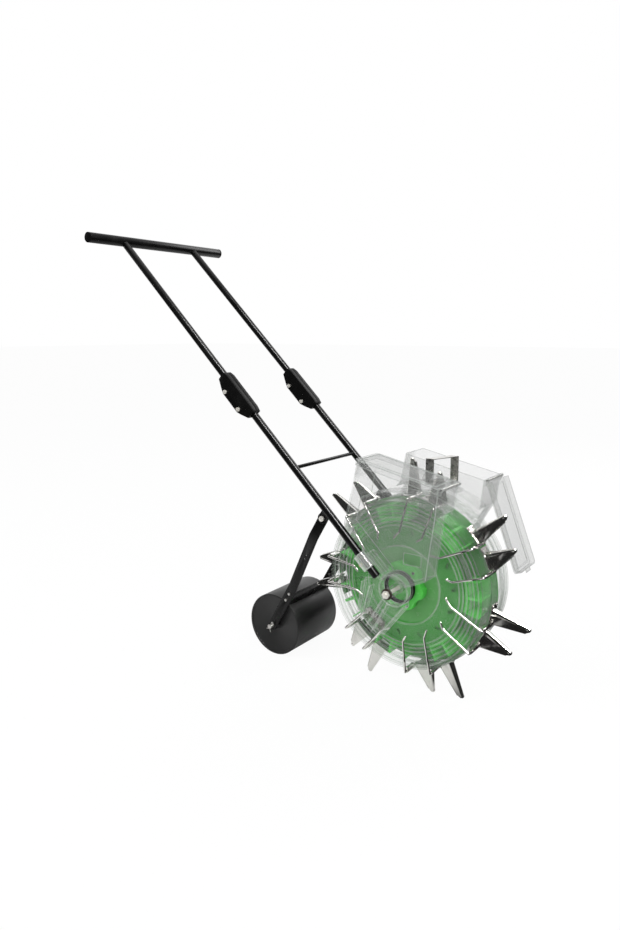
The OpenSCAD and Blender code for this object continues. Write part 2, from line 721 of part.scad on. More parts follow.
module partition_disc() color(green) turned() polygon([
    [sleeve_r, -partition_t / 2], [band_r, -partition_t / 2],
    [band_r, partition_t / 2], [sleeve_r, partition_t / 2]]);

metering_y = face_half - 14;

slot_count = 2 * pair_count;
slot_len = 15;
slot_w = 6;

// Green discs behind the side faces, with a thick edge and slanted slots that pick the seed
module metering_discs() color(green) for (s = [-1, 1]) at_axle() difference() {
    union() {
        side_rod(s, metering_r - 1, metering_y, metering_y + 3);
        difference() {
            side_rod(s, metering_r, metering_y - 3, metering_y + 6);
            side_rod(s, metering_r - 11, metering_y - 4, metering_y + 7);
        }
    }
    side_rod(s, sleeve_r, metering_y - 1, metering_y + 4);
    for (k = [0 : slot_count - 1]) rotate([0, 9 - seed_angles[0] - k * 360 / slot_count, 0])
        slab(s, metering_y - 1, metering_y + 4) translate([metering_r - 26, 0]) rotate(40)
            translate([-slot_len / 2, -slot_w / 2]) square([slot_len, slot_w]);
}

block_low = metering_r + face_gap;
block_high = drum_r - block_inset;
block_turn = 11;
block_half = 13.5;
cup_wall = 3;

// Sector between two radii, from angle a to angle b
module sector(r0, r1, a, b) intersection() {
    difference() {
        circle(r = r1, $fn = 160);
        circle(r = r0, $fn = 160);
    }
    polygon([[0, 0], polar(2 * r1, a), polar(2 * r1 / cos((b - a) / 2), (a + b) / 2), polar(2 * r1, b)]);
}

// Green blocks around the discs that lift the seed, each with two cups that open to the rim
module pickup_blocks() color(green) for (a = seed_angles) at_beak(a + block_turn) difference() {
    slab(-1, partition_t / 2, metering_y + 3) sector(block_low, block_high, -block_half, block_half);
    slab(-1, partition_t / 2 + cup_wall, metering_y + 4) {
        sector(block_low + 2 * cup_wall, block_high + 1, 1 - block_half, -1);
        sector(block_low + 2 * cup_wall, block_high + 1, 1, block_half - 1);
    }
}

hub_face = face_half + 10;

// Lobed green flanges that stand in the inlets
module hub_flanges() color(green) for (s = [-1, 1]) at_axle() difference() {
    slab(s, metering_y + 3, hub_face) difference() {
        circle(r = flange_r, $fn = 72);
        for (k = [0 : 5]) rotate(20 + 60 * k) translate([flange_r + 30, 0]) circle(r = 38, $fn = 64);
    }
    side_rod(s, sleeve_r, metering_y, hub_face + 1);
}

module flange_screws() color(steel) for (s = [-1, 1], k = [0 : 2]) at_axle() rotate([0, -50 - 120 * k, 0])
    translate([flange_r - 8, 0, 0]) side_rod(s, 3.5, hub_face, hub_face + 2);

module hub_sleeve() color(green) at_axle() difference() {
    rod(sleeve_r, -hub_half, hub_half);
    rod(axle_r + run_gap, -hub_half - 1, hub_half + 1);
}

function hinge_at(turn) = polar(hinge_r, turn);

// Line where a beak's side plates end and the jaw begins, from the hinge to the tip
function seam_low(turn) = hinge_at(turn) + [8, knuckle_r * 0.2 + 1];
function seam_high(tip) = [tip - 5 - tip_round, -beak_end_drop];

beak_seat = 6;
plate_step = 1.2;
beak_point = tip_round - 0.3;

// Side view of a beak's flat plates, from the middle of its round back to the seam
module beak_side(tip, turn) polygon([
    [drum_r - 3, beak_seat], [tip - tip_round, 0], polar_from(tip, -45),
    seam_high(tip) + [2.5, 1], seam_high(tip), seam_low(turn),
    [drum_r - 3, hinge_at(turn)[1] + knuckle_r + 4]]);

function polar_from(tip, a) = [tip - tip_round, 0] + polar(tip_round, a);

// Plan view of a beak: it narrows from its base to its tip
module beak_plan(tip, w) polygon([
    [drum_r - 6, beak_half - w], [tip, beak_point - w], [tip, w - beak_point], [drum_r - 6, w - beak_half]]);

// Round back of a beak as a cone, made thinner by w and cut short by cut
module beak_back_cone(tip, w, cut) {
    run = norm([tip - tip_round - drum_r + 6, beak_seat]);
    translate([drum_r - 6, 0, beak_seat]) rotate([0, 90 + atan(beak_seat / run), 0])
        cylinder(r1 = beak_half - w, r2 = beak_point - w + (beak_half - beak_point) * cut / run,
            h = run - cut, $fn = 40);
}

// Flange that sits on the beak band behind the jaw's hinge
module beak_flange(turn) intersection() {
    rod(band_r + flange_sheet, -flange_w, flange_w);
    translate([drum_r - 10, -flange_w, hinge_at(turn)[1] + knuckle_r + 1])
        cube([30, 2 * flange_w, flange_half - hinge_at(turn)[1] - knuckle_r - 1]);
}

module beak(angle, tip, turn) at_beak(angle) translate([0, -beak_off, 0]) difference() {
    union() {
        beak_back_cone(tip, 0, 0);
        translate([tip - tip_round, 0, 0]) sphere(r = tip_round, $fn = 40);
        intersection() {
            slab(1, -beak_half, beak_half) beak_side(tip, turn);
            translate([0, 0, -60]) linear_extrude(120) beak_plan(tip, plate_step);
        }
        beak_flange(turn);
    }
    rod(band_r, -beak_half - 10, beak_half + 10);
    beak_back_cone(tip, beak_sheet, 12);
    intersection() {
        slab(1, -beak_half, beak_half) polygon([
            [drum_r - 5, beak_seat], [tip - tip_round - 12, 1],
            [tip - tip_round - 12, -40], [drum_r - 5, -60]]);
        translate([0, 0, -70]) linear_extrude(120) beak_plan(tip, plate_step + beak_sheet);
    }
}

module seed_beaks() color(steel) for (a = seed_angles) beak(a, seed_tip_r, seed_hinge_turn);
module fertiliser_beaks() color(steel) for (a = fert_angles) beak(a, fert_tip_r, fert_hinge_turn);

beak_screw_turn = asin((beak_back + flange_half) / 2 / band_r);

// Two screws behind each beak hold its flange on the band
module beak_screws() color([0.1, 0.1, 0.1]) for (a = concat(seed_angles, fert_angles), k = [-1, 1])
    at_beak(a + beak_screw_turn) translate([band_r + flange_sheet, -beak_off + k * (flange_w - 5), 0])
        rotate([0, 90, 0]) {
            cylinder(r = 3, h = 1.8, $fn = 24);
            translate([0, 0, 1.7]) cylinder(r1 = 3, r2 = 2.2, h = 0.6, $fn = 24);
        }

sleeve_near = drum_half - 2;

// Tubes on the rim in which the lever wires turn, each on its saddle
module lever_sleeve(angle, turn) at_beak(angle + turn) difference() {
    union() {
        translate([hinge_r, 0, 0]) side_rod(-1, lever_sleeve_r, sleeve_near - lever_sleeve_len, sleeve_near);
        slab(-1, sleeve_near - lever_sleeve_len + 3, sleeve_near - 3)
            translate([drum_r - 2, -3]) square([hinge_r - drum_r + 2, 6]);
    }
    rod(drum_r, -drum_half, 0);
    translate([hinge_r, 0, 0]) rod(wire_r + run_gap, -drum_half - 1, 0);
}

module lever_sleeves() color(steel) {
    for (a = seed_angles) lever_sleeve(a, seed_hinge_turn);
    for (a = fert_angles) lever_sleeve(a, fert_hinge_turn);
}

spring_r = knuckle_r + 0.3;
spring_wire = 0.5;
spring_pitch = 1.9;

// Return spring around each jaw's hinge
module jaw_spring(angle, turn) at_beak(angle + turn)
    translate([hinge_r, -beak_off + spring_turns * spring_pitch / 2, 0]) rotate([90, 0, 0])
        coil(spring_r, spring_wire, spring_pitch, spring_turns);

module jaw_springs() color(steel) {
    for (a = seed_angles) jaw_spring(a, seed_hinge_turn);
    for (a = fert_angles) jaw_spring(a, fert_hinge_turn);
}

// Lever in the side view, each point as radius and turn from its beak
seed_lever = [[hinge_r, seed_hinge_turn], [hinge_r - seed_leg, 1.5], [hinge_r - seed_leg - 14, 9]];
fert_lever = [[hinge_r, fert_hinge_turn], [hinge_r - seed_leg + 5, -9.5], [hinge_r - seed_leg - 7, -6]];

// Jaw: wire lever on the drum's face, run across the rim, knuckle and the plate that closes the beak
module jaw(angle, tip, turn, lever) color(steel) at_beak(angle) {
    pts = [for (p = lever) polar(p[0], p[1])];
    hinge = hinge_at(turn);
    for (i = [0, 1]) wire(-wire_y, pts[i], pts[i + 1]);
    for (p = pts) translate([p[0], -wire_y, p[1]]) sphere(r = wire_r + 0.15, $fn = 24);
    collar = unit(pts[1] - pts[0]);
    wire(-wire_y, pts[0] + 24 * collar, pts[0] + 28 * collar, wire_r + 0.6);
    translate([hinge[0], 0, hinge[1]]) {
        rod(wire_r, -wire_y, -beak_off);
        rod(knuckle_r, -sleeve_near + lever_sleeve_len + face_gap, -beak_off - beak_half - 1);
        rod(knuckle_r - 1, -beak_off - beak_half - 1, -beak_off + beak_half);
    }
    jaw_plate(tip, turn);
}

jaw_t = 1.4;

module jaw_plate(tip, turn) translate([0, -beak_off, 0]) intersection() {
    low = seam_low(turn);
    high = seam_high(tip) + [0.5, 0];
    drop = inward(high, low) * -1;
    root = hinge_at(turn);
    difference() {
        slab(1, -beak_half, beak_half) polygon([
            high - drop * jaw_gap, high - drop * (jaw_gap + jaw_t), low - drop * (jaw_gap + jaw_t),
            root + [1, -knuckle_r + 1], root + [3, -knuckle_r + 2.6], low - drop * jaw_gap]);
        translate([root[0], 0, root[1]]) rod(spring_r + spring_wire + 0.4, -4.8, 4.8);
    }
    translate([0, 0, -70]) linear_extrude(120) beak_plan(tip, plate_step);
}

module seed_jaw(i) jaw(seed_angles[i], seed_tip_r, seed_hinge_turn, seed_lever);
module fertiliser_jaw(i) jaw(fert_angles[i], fert_tip_r, fert_hinge_turn, fert_lever);

// Press roller

arm_bend = 138;
arm_pad = 60;

// Flat bar seen from the front: straight pads at both ends with a slant between them
function arm_path() = [
    [arm_off - arm_t / 2, -arm_w / 2], [arm_off - arm_t / 2, arm_bend],
    [arm_top_y, arm_len - arm_pad], [arm_top_y, arm_len + arm_w]];

arm_slant = atan((arm_top_y - arm_off + arm_t / 2) / (arm_len - arm_pad - arm_bend));
spare_holes = [245, 258];
spare_hole_r = 2.5;

// Middle of the bar's slanted stretch at height h
function slant_y(h) = arm_off + (h - arm_bend) * tan(arm_slant);

module roller_arm(s) color(black) difference() {
    on_arm() {
        intersection() {
            rotate([90, 0, 90]) translate([0, 0, -arm_w / 2]) linear_extrude(arm_w)
                polygon([for (p = arm_path()) [s * p[0], p[1]],
                    for (i = [3 : -1 : 0]) [s * (arm_path()[i][0] + arm_t), arm_path()[i][1]]]);
            slab(s, arm_off - 10, tube_off) {
                circle(r = arm_w / 2, $fn = 48);
                translate([-arm_w / 2, 0]) square([arm_w, arm_len + arm_w]);
            }
        }
    }
    on_tube(s) translate([-tube_r - face_gap, -60, pivot_at - 80]) cube([60, 120, 160]);
    on_arm() side_rod(s, roller_axle_r + run_gap, arm_off - 10, arm_off + 10);
    on_arm() translate([0, 0, arm_len]) side_rod(s, pivot_r + run_gap, arm_top_y - 5, tube_off + 5);
    on_arm() for (h = spare_holes) translate([0, s * slant_y(h), h]) rotate([-s * arm_slant, 0, 0])
        rod(spare_hole_r, -arm_t * 2, arm_t * 2);
    on_arm() for (k = [0, 1]) translate([0, 0, blade_low + 12 + k * (blade_len - 24)])
        side_rod(s, 2.1, arm_off - 10, arm_off + 10);
}

module near_roller_arm() roller_arm(-1);
module far_roller_arm() roller_arm(1);

module arm_pivot_bolts() color(steel) for (s = [-1, 1]) translate([pivot_x, 0, pivot_z]) {
    side_rod(s, pivot_r, arm_top_y - face_gap, tube_off + arm_t / 2);
    side_rod(s, 6.5, tube_off + arm_t / 2, tube_off + arm_t / 2 + 5);
    side_rod(s, 6.5, arm_top_y - face_gap - 6, arm_top_y - face_gap);
}

blade_t = 2.5;
blade_fwd = arm_w / 2 - 1;
blade_low = sqrt(pow(roller_r, 2) - pow(blade_fwd, 2)) + 1.2;

// Blade across the roller, with a tab screwed to each arm
module scraper_blade() color(black) on_arm() difference() {
    union() {
        along_y(-arm_off + arm_t / 2, arm_off - arm_t / 2)
            translate([blade_fwd - blade_t, blade_low]) square([blade_t, blade_len]);
        for (s = [-1, 1]) slab(s, arm_off - arm_t / 2 - 2, arm_off - arm_t / 2)
            translate([-8, blade_low + 4]) square([blade_fwd + 8, blade_len - 8]);
    }
    for (s = [-1, 1], k = [0, 1]) translate([0, 0, blade_low + 12 + k * (blade_len - 24)])
        side_rod(s, 2.1, arm_off - 10, arm_off);
}

module scraper_screws() color(steel) on_arm() for (s = [-1, 1], k = [0, 1])
    translate([0, 0, blade_low + 12 + k * (blade_len - 24)]) {
        side_rod(s, 2.1 - run_gap, arm_off - arm_t / 2 - 2, arm_off + arm_t / 2);
        side_rod(s, 3.5, arm_off + arm_t / 2, arm_off + arm_t / 2 + 2);
        side_rod(s, 3.5, arm_off - arm_t / 2 - 4, arm_off - arm_t / 2 - 2);
    }

axle_out = arm_off + 14;
pin_at = arm_off + 8;

module roller_axle() color(steel) on_arm() difference() {
    rod(roller_axle_r, -axle_out, axle_out);
    for (s = [-1, 1]) translate([0, s * pin_at, -10]) cylinder(r = 1.3, h = 20, $fn = 20);
}

// Split pins: a shank through the axle, an eye at one end and bent legs at the other
module split_pins() color(steel) on_arm() for (s = [-1, 1]) translate([0, s * pin_at, 0]) {
    translate([0, 0, -roller_axle_r - 3]) cylinder(r = 1.25, h = 2 * roller_axle_r + 6, $fn = 20);
    translate([0, 0, roller_axle_r + 5]) rotate([90, 0, 0]) difference() {
        translate([0, 0, -1]) cylinder(r = 3.2, h = 2, $fn = 32);
        translate([0, 0, -2]) cylinder(r = 1.4, h = 4, $fn = 24);
    }
    for (k = [-1, 1]) translate([0, 0, -roller_axle_r - 2.4]) rotate([0, 180 + k * 50, 0])
        cylinder(r = 0.9, h = 10, $fn = 20);
}

// Welded drum: wall, end discs set just inside it and the tube that turns on the axle
module roller_drum() color(black) translate([roller_x, 0, roller_z]) difference() {
    rod(roller_r, -roller_half, roller_half);
    difference() {
        rod(roller_r - roller_wall, -roller_half + 4, roller_half - 4);
        rod(roller_axle_r + 4, -roller_half, roller_half);
    }
    for (s = [-1, 1]) side_rod(s, roller_r - roller_wall - 4, roller_half - 1.5, roller_half + 1);
    rod(roller_axle_r + run_gap, -roller_half - 1, roller_half + 1);
}

handle_bar();
bar_end_caps();
near_upper_tube();
far_upper_tube();
near_lower_tube();
far_lower_tube();
joiner_outer_halves();
joiner_inner_halves();
joiner_screws();
cross_bar();
wheel_axle();
axle_nuts();
rubber_washers();
near_bracket();
far_bracket();
trip_cams();
hub_rings();
socket_screws();
near_hopper();
far_hopper();
hopper_strap();
hopper_screws();
lid_pins();
arm_pivot_bolts();
near_lid();
far_lid();
near_drum_shell();
far_drum_shell();
partition_disc();
metering_discs();
pickup_blocks();
hub_flanges();
flange_screws();
hub_sleeve();
seed_beaks();
fertiliser_beaks();
beak_screws();
lever_sleeves();
jaw_springs();
seed_jaw(0);  // seed_jaw_1
seed_jaw(1);  // seed_jaw_2
seed_jaw(2);  // seed_jaw_3
seed_jaw(3);  // seed_jaw_4
seed_jaw(4);  // seed_jaw_5
seed_jaw(5);  // seed_jaw_6
seed_jaw(6);  // seed_jaw_7
fertiliser_jaw(0);  // fertiliser_jaw_1
fertiliser_jaw(1);  // fertiliser_jaw_2
fertiliser_jaw(2);  // fertiliser_jaw_3
fertiliser_jaw(3);  // fertiliser_jaw_4
fertiliser_jaw(4);  // fertiliser_jaw_5
fertiliser_jaw(5);  // fertiliser_jaw_6
fertiliser_jaw(6);  // fertiliser_jaw_7
near_roller_arm();
far_roller_arm();
scraper_blade();
scraper_screws();
roller_axle();
split_pins();
roller_drum();
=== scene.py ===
import math
import bpy
from mathutils import Matrix, Vector


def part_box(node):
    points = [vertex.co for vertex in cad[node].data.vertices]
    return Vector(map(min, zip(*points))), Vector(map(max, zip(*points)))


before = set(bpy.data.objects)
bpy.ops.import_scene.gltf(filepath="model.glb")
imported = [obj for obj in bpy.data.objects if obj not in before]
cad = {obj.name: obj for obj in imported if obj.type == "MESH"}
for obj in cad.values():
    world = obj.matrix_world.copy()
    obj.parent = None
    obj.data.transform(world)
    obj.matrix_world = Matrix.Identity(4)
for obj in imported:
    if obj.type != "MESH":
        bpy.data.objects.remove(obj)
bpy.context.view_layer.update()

print("frame loaded:", len(cad), "nodes")


# places taken from the frame
def middle(name):
    low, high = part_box(name)
    return [(a + b) / 2 for a, b in zip(low, high)]


axle = middle("wheel_axle")
tubeDirection = (-0.7254, 0, 0.6884)  # up along the handle tubes

# camera fitted to the photograph, with its place given from the wheel's axle
cameraSettings = {
    "fromAxle": (0.7644, -1.4437, 0.5819),
    "yaw": 36.24,
    "pitch": -8.53,
    "lens": 27.06,
    "shift": (-0.00935, -0.02957),
}


def makeCamera(s):
    bpy.ops.object.camera_add()
    camera = bpy.context.object
    camera.name = "camera"
    camera.location = [a + b for a, b in zip(axle, s["fromAxle"])]
    camera.rotation_euler = (math.radians(90 + s["pitch"]), 0, math.radians(s["yaw"]))
    camera.data.sensor_width = 36
    camera.data.lens = s["lens"]
    camera.data.shift_x, camera.data.shift_y = s["shift"]
    camera.data.clip_start = 0.05
    camera.data.clip_end = 60
    bpy.context.scene.camera = camera


makeCamera(cameraSettings)


# shader helpers
def newMaterial(name):
    mat = bpy.data.materials.new(name)
    mat.use_nodes = True
    tree = mat.node_tree
    return mat, tree, tree.nodes["Principled BSDF"]


def setSockets(shader, values):
    for key, value in values.items():
        shader.inputs[key].default_value = value


def newGroup(name, inputs, outputs):
    group = bpy.data.node_groups.new(name, "ShaderNodeTree")
    for label, kind, value in inputs:
        socket = group.interface.new_socket(name=label, in_out="INPUT", socket_type=kind)
        if value is not None:
            socket.default_value = value
    for label, kind in outputs:
        group.interface.new_socket(name=label, in_out="OUTPUT", socket_type=kind)
    start = group.nodes.new("NodeGroupInput")
    end = group.nodes.new("NodeGroupOutput")
    return group, start, end


def feed(tree, socket, value):  # a link where the value comes from a node, else the value itself
    if hasattr(value, "is_output"):
        tree.links.new(value, socket)
    else:
        socket.default_value = value


def noise(tree, vector, scale, detail=4.0, roughness=0.55):
    node = tree.nodes.new("ShaderNodeTexNoise")
    for label, value in (("Vector", vector), ("Scale", scale), ("Detail", detail), ("Roughness", roughness)):
        feed(tree, node.inputs[label], value)
    return node


def mapRange(tree, value, low, high, outLow=0.0, outHigh=1.0):
    node = tree.nodes.new("ShaderNodeMapRange")
    limits = {"From Min": low, "From Max": high, "To Min": outLow, "To Max": outHigh}
    for label, number in {"Value": value, **limits}.items():
        feed(tree, node.inputs[label], number)
    return node.outputs["Result"]


def mathNode(tree, operation, a, b):
    node = tree.nodes.new("ShaderNodeMath")
    node.operation = operation
    feed(tree, node.inputs[0], a)
    feed(tree, node.inputs[1], b)
    return node.outputs[0]


def vectorMath(tree, operation, result, a, b=None):
    node = tree.nodes.new("ShaderNodeVectorMath")
    node.operation = operation
    feed(tree, node.inputs[0], a)
    if b is not None:
        feed(tree, node.inputs[1], b)
    return node.outputs[result]


def mixColour(tree, factor, a, b):
    node = tree.nodes.new("ShaderNodeMix")
    node.data_type = "RGBA"
    for place, value in ((0, factor), (6, a), (7, b)):  # the colour sockets of this node
        feed(tree, node.inputs[place], value)
    return node.outputs[2]


def makeScuffGroup():  # paint or plastic with a fine grain, dust in patches and thin scratches
    group, start, end = newGroup("scuffs", [
        ("Vector", "NodeSocketVector", None),
        ("Colour", "NodeSocketColor", (0.02, 0.02, 0.02, 1)),
        ("Dust Colour", "NodeSocketColor", (0.2, 0.19, 0.17, 1)),
        ("Dust", "NodeSocketFloat", 0.1),
        ("Roughness", "NodeSocketFloat", 0.3),
        ("Spread", "NodeSocketFloat", 0.1),
        ("Grain Scale", "NodeSocketFloat", 900.0)],
        [("Colour", "NodeSocketColor"), ("Roughness", "NodeSocketFloat"), ("Height", "NodeSocketFloat")])
    vector = start.outputs["Vector"]
    patches = noise(group, vector, 14.0, 5.0, 0.6)
    grain = noise(group, vector, start.outputs["Grain Scale"], 2.0)
    stretch = group.nodes.new("ShaderNodeMapping")
    stretch.inputs["Scale"].default_value = (1.0, 1.0, 0.08)
    stretch.inputs["Rotation"].default_value = (0.4, 0.9, 0.2)
    group.links.new(vector, stretch.inputs["Vector"])
    scratch = noise(group, stretch.outputs["Vector"], 420.0, 3.0, 0.7)
    thin = mapRange(group, scratch.outputs["Fac"], 0.68, 0.74)
    dusty = mapRange(group, patches.outputs["Fac"], 0.45, 0.75)
    amount = mathNode(group, "MULTIPLY", dusty, start.outputs["Dust"])
    marks = mathNode(group, "MULTIPLY", thin, mathNode(group, "MULTIPLY", start.outputs["Dust"], 1.6))
    total = mathNode(group, "ADD", amount, marks)
    group.links.new(mixColour(group, total, start.outputs["Colour"], start.outputs["Dust Colour"]),
                    end.inputs["Colour"])
    spread = mathNode(group, "MULTIPLY", mapRange(group, patches.outputs["Fac"], 0.3, 0.7, -1.0, 1.0),
                      start.outputs["Spread"])
    group.links.new(mathNode(group, "ADD", start.outputs["Roughness"], spread), end.inputs["Roughness"])
    group.links.new(mathNode(group, "SUBTRACT", grain.outputs["Fac"], thin), end.inputs["Height"])
    return group


def makeDrawnGroup():  # bright sheet metal with drawing lines, fingerprints and slow waves
    group, start, end = newGroup("drawnMetal", [
        ("Vector", "NodeSocketVector", None),
        ("Colour", "NodeSocketColor", (0.7, 0.7, 0.7, 1)),
        ("Stain Colour", "NodeSocketColor", (0.35, 0.33, 0.3, 1)),
        ("Stain", "NodeSocketFloat", 0.1),
        ("Roughness", "NodeSocketFloat", 0.12),
        ("Spread", "NodeSocketFloat", 0.06)],
        [("Colour", "NodeSocketColor"), ("Roughness", "NodeSocketFloat"), ("Height", "NodeSocketFloat")])
    vector = start.outputs["Vector"]
    stretch = group.nodes.new("ShaderNodeMapping")
    stretch.inputs["Scale"].default_value = (1.0, 14.0, 1.0)
    group.links.new(vector, stretch.inputs["Vector"])
    lines = noise(group, stretch.outputs["Vector"], 130.0, 3.0)
    waves = noise(group, vector, 22.0, 2.0)
    prints = noise(group, vector, 60.0, 5.0, 0.65)
    stained = mathNode(group, "MULTIPLY", mapRange(group, prints.outputs["Fac"], 0.5, 0.75),
                       start.outputs["Stain"])
    group.links.new(mixColour(group, stained, start.outputs["Colour"], start.outputs["Stain Colour"]),
                    end.inputs["Colour"])
    spread = mathNode(group, "MULTIPLY", mapRange(group, lines.outputs["Fac"], 0.3, 0.7, -1.0, 1.0),
                      start.outputs["Spread"])
    group.links.new(mathNode(group, "ADD", start.outputs["Roughness"], spread), end.inputs["Roughness"])
    soft = mathNode(group, "MULTIPLY", waves.outputs["Fac"], 6.0)
    group.links.new(mathNode(group, "ADD", soft, mathNode(group, "MULTIPLY", lines.outputs["Fac"], 0.15)),
                    end.inputs["Height"])
    return group


def makeMouldGroup():  # clear moulding: flow marks, fine dust and faint scratches
    group, start, end = newGroup("mouldMarks", [
        ("Vector", "NodeSocketVector", None),
        ("Roughness", "NodeSocketFloat", 0.06),
        ("Spread", "NodeSocketFloat", 0.04),
        ("Haze", "NodeSocketFloat", 0.1)],
        [("Roughness", "NodeSocketFloat"), ("Haze", "NodeSocketFloat"), ("Height", "NodeSocketFloat")])
    vector = start.outputs["Vector"]
    flow = noise(group, vector, 9.0, 3.0)
    dust = noise(group, vector, 55.0, 6.0, 0.7)
    speck = noise(group, vector, 700.0, 2.0)
    spread = mathNode(group, "MULTIPLY", mapRange(group, dust.outputs["Fac"], 0.35, 0.7, -1.0, 1.0),
                      start.outputs["Spread"])
    group.links.new(mathNode(group, "ADD", start.outputs["Roughness"], spread), end.inputs["Roughness"])
    patches = mapRange(group, dust.outputs["Fac"], 0.4, 0.75, 0.5, 1.5)
    dots = mapRange(group, speck.outputs["Fac"], 0.68, 0.74, 0.0, 1.5)
    group.links.new(mathNode(group, "MULTIPLY", mathNode(group, "ADD", patches, dots), start.outputs["Haze"]),
                    end.inputs["Haze"])
    group.links.new(mathNode(group, "MULTIPLY", flow.outputs["Fac"], 8.0), end.inputs["Height"])
    return group


scuffGroup = makeScuffGroup()
drawnGroup = makeDrawnGroup()
mouldGroup = makeMouldGroup()


def placeGroup(tree, group, values):
    node = tree.nodes.new("ShaderNodeGroup")
    node.node_tree = group
    setSockets(node, values)
    coords = tree.nodes.new("ShaderNodeTexCoord")
    tree.links.new(coords.outputs["Object"], node.inputs["Vector"])
    return node


def bumpFrom(tree, shader, height, strength, distance):
    bump = tree.nodes.new("ShaderNodeBump")
    bump.inputs["Strength"].default_value = strength
    bump.inputs["Distance"].default_value = distance
    tree.links.new(height, bump.inputs["Height"])
    tree.links.new(bump.outputs["Normal"], shader.inputs["Normal"])


def markedMaterial(name, group, values, shaderValues, strength, distance):
    mat, tree, shader = newMaterial(name)
    marks = placeGroup(tree, group, values)
    tree.links.new(marks.outputs["Colour"], shader.inputs["Base Color"])
    tree.links.new(marks.outputs["Roughness"], shader.inputs["Roughness"])
    bumpFrom(tree, shader, marks.outputs["Height"], strength, distance)
    setSockets(shader, shaderValues)
    return mat


def paintMaterial(name, values, shaderValues, strength):
    return markedMaterial(name, scuffGroup, values, shaderValues, strength, 0.0002)


def metalMaterial(name, values, shaderValues, strength):
    return markedMaterial(name, drawnGroup, values, {"Metallic": 1.0, **shaderValues}, strength, 0.0004)


edgeDots = (0.995, 0.9)  # how far a rounded normal leans from the flat one where a line starts and is full


def edgeMask(tree, radius):  # one near the sharp edges of a clear wall, where the painted edge lines go
    rounded = tree.nodes.new("ShaderNodeBevel")
    rounded.samples = 4
    rounded.inputs["Radius"].default_value = radius
    flat = tree.nodes.new("ShaderNodeNewGeometry")
    lean = vectorMath(tree, "DOT_PRODUCT", "Value", rounded.outputs["Normal"], flat.outputs["Normal"])
    return mapRange(tree, lean, *edgeDots)


def fromAxle(tree):
    coords = tree.nodes.new("ShaderNodeTexCoord")
    return vectorMath(tree, "SUBTRACT", "Vector", coords.outputs["Object"], axle)


def alongTube(tree, start):  # one from a distance along the handle tubes on, measured from the axle
    height = vectorMath(tree, "DOT_PRODUCT", "Value", fromAxle(tree), tubeDirection)
    return mapRange(tree, height, start, start + 0.001)


def radiusFromAxle(tree):
    flat = vectorMath(tree, "MULTIPLY", "Vector", fromAxle(tree), (1, 0, 1))
    return vectorMath(tree, "LENGTH", "Value", flat)


mouldBump = {"strength": 0.05, "distance": 0.0002}


def mouldMaterial(name, values):  # start of each clear or green material, with its facing value
    mat, tree, shader = newMaterial(name)
    marks = placeGroup(tree, mouldGroup, values)
    tree.links.new(marks.outputs["Roughness"], shader.inputs["Roughness"])
    bumpFrom(tree, shader, marks.outputs["Height"], **mouldBump)
    layer = tree.nodes.new("ShaderNodeLayerWeight")
    layer.inputs["Blend"].default_value = 0.35
    return mat, tree, shader, marks, layer.outputs["Facing"]


def clearMaterial(name, s, values, shaderValues):
    mat, tree, shader, marks, facing = mouldMaterial(name, values)
    grazing = mapRange(tree, facing, 0.4, 0.95)
    # painted reflection and shade: a nearly opaque grey line along the sharp edges of each clear wall,
    # standing in for the light that these edges mirror and bend
    line = mathNode(tree, "MULTIPLY", edgeMask(tree, s["lineWidth"]), s["line"])
    body = mapRange(tree, grazing, 0.0, 1.0, s["veil"], s["edge"])
    alpha = mathNode(tree, "MAXIMUM", body, line)
    # the bracket's socket is whiter from a distance along the tube on: frosting, and painted highlight
    # standing in for the sheen on its ribs
    if "frostAndSheen" in s:
        frostAndSheen = mathNode(tree, "MULTIPLY", alongTube(tree, s["frostAndSheenFrom"]), s["frostAndSheen"])
        alpha = mathNode(tree, "MAXIMUM", alpha, frostAndSheen)
    tree.links.new(mathNode(tree, "ADD", alpha, marks.outputs["Haze"]), shader.inputs["Alpha"])
    # painted shade: the base colour turns dark grey where a clear wall is seen at a grazing angle, standing
    # in for the darkening that refraction gives there
    veilAndGrazingShade = mixColour(tree, grazing, s["veilColour"], s["grazingShadeColour"])
    paintedLineColour = s["paintedLineColour"]
    # painted shade: on the drum the edge lines are painted dark grey beyond the green disc's edge and
    # green-grey inside it, after what lies behind them
    if "outerLineShadeColour" in s:
        outer = mapRange(tree, radiusFromAxle(tree), s["rimFrom"], s["rimFrom"] + 0.002)
        paintedLineColour = mixColour(tree, outer, s["paintedLineColour"], s["outerLineShadeColour"])
    tree.links.new(mixColour(tree, line, veilAndGrazingShade, paintedLineColour), shader.inputs["Base Color"])
    setSockets(shader, shaderValues)
    return mat


def greenMaterial(name, s, values, shaderValues):
    mat, tree, shader, marks, facing = mouldMaterial(name, values)
    frosted = mapRange(tree, radiusFromAxle(tree), s["frostTo"], s["frostTo"] - 0.004)
    colour = mixColour(tree, frosted, s["colour"], s["frostColour"])
    worn = mapRange(tree, marks.outputs["Haze"], 0.0, 0.06, 0.0, s["dust"])
    tree.links.new(mixColour(tree, worn, colour, s["frostColour"]), shader.inputs["Base Color"])
    alpha = mapRange(tree, facing, 0.0, 1.0, s["alpha"], 0.96)
    tree.links.new(alpha, shader.inputs["Alpha"])
    setSockets(shader, shaderValues)
    return mat


clearMarks = {"Roughness": 0.06, "Spread": 0.02, "Haze": 0.008}
clearShader = {"Specular IOR Level": 0.5, "IOR": 1.49}
greenMarks = {"Roughness": 0.25, "Spread": 0.06, "Haze": 0.02}
greenShader = {"Specular IOR Level": 0.4}

